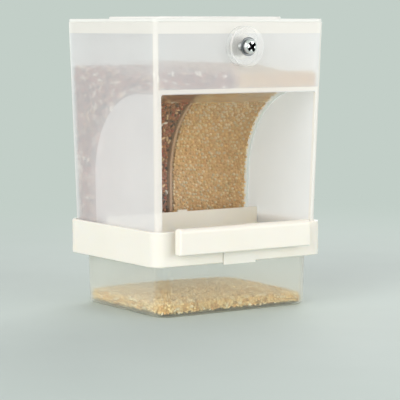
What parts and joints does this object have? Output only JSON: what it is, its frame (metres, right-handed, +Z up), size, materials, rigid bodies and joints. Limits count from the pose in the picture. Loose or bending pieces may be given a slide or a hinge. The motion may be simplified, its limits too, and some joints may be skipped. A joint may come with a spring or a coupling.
{
  "type": "automatic bird feeder",
  "caption": "Gravity seed feeder: frosted hopper with divider and feeding cabin, cream tray with perch, clear catch box, lid and screw clamp for a cage bar.",
  "frame": {"origin": "on the surface that the feeder stands on, straight below the middle of the hopper's rim", "axes": "+Z up, -Y towards the open front of the feeding cabin, X along the front"},
  "size_m": [0.1364, 0.1228, 0.1965],
  "materials": {
    "frosted_hopper": "frosted, translucent polypropylene",
    "frosted_divider": "frosted, translucent polypropylene",
    "frosted_lid": "frosted, translucent polypropylene",
    "cream_plastic": "satin moulded plastic",
    "clear_box": "clear with a light frosting",
    "clear_disc": "clear, polished",
    "bright_screw": "bright plated",
    "plain_steel": "zinc plated",
    "mixed_seed": "dry seed mix in reds, browns and cream",
    "millet_seed": "dry pale orange millet",
    "seed_husks": "dry golden husks"
  },
  "bodies": {
    "catch_box": {"catch_box": "clear_box", "husk_layer": "seed_husks"},
    "feed_tray": {"feed_tray": "cream_plastic", "trough_mixed_seed": "mixed_seed", "trough_millet_seed": "millet_seed"},
    "perch": {"perch": "cream_plastic"},
    "hopper": {"hopper": "frosted_hopper", "hopper_divider": "frosted_divider", "mixed_seed": "mixed_seed", "millet_seed": "millet_seed", "inner_clamp_disc": "clear_disc", "backing_washer": "plain_steel", "clamp_nut": "plain_steel"},
    "lid": {"lid": "frosted_lid"},
    "clamp_head": {"steel_washer": "plain_steel", "outer_clamp_disc": "clear_disc"},
    "clamp_screw": {"clamp_screw": "bright_screw"}
  },
  "joints": [
    {"name": "tray_lift", "type": "slide", "parent": "catch_box", "child": "feed_tray", "axis": [0, 0, 1], "range_m": [0, 0.05]},
    {"name": "perch_pull", "type": "slide", "parent": "feed_tray", "child": "perch", "axis": [0, -1, 0], "range_m": [0, 0.03]},
    {"name": "hopper_lift", "type": "slide", "parent": "feed_tray", "child": "hopper", "axis": [0, 0, 1], "range_m": [0, 0.06]},
    {"name": "lid_lift", "type": "slide", "parent": "hopper", "child": "lid", "axis": [0, 0, 1], "range_m": [0, 0.05]},
    {"name": "clamp_travel", "type": "slide", "parent": "hopper", "child": "clamp_head", "axis": [0, -0.9997, -0.0262], "range_m": [-0.0032, 0.0032]},
    {"name": "clamp_turn", "type": "hinge", "parent": "clamp_head", "child": "clamp_screw", "pos_m": [0, -0.05508, 0.177], "axis": [0, -0.9997, -0.0262], "range_deg": [-1441, 1441]}
  ],
  "couplings": [
    {"joint": "clamp_turn", "follows": "clamp_travel", "rad_per_m": 7854}
  ]
}
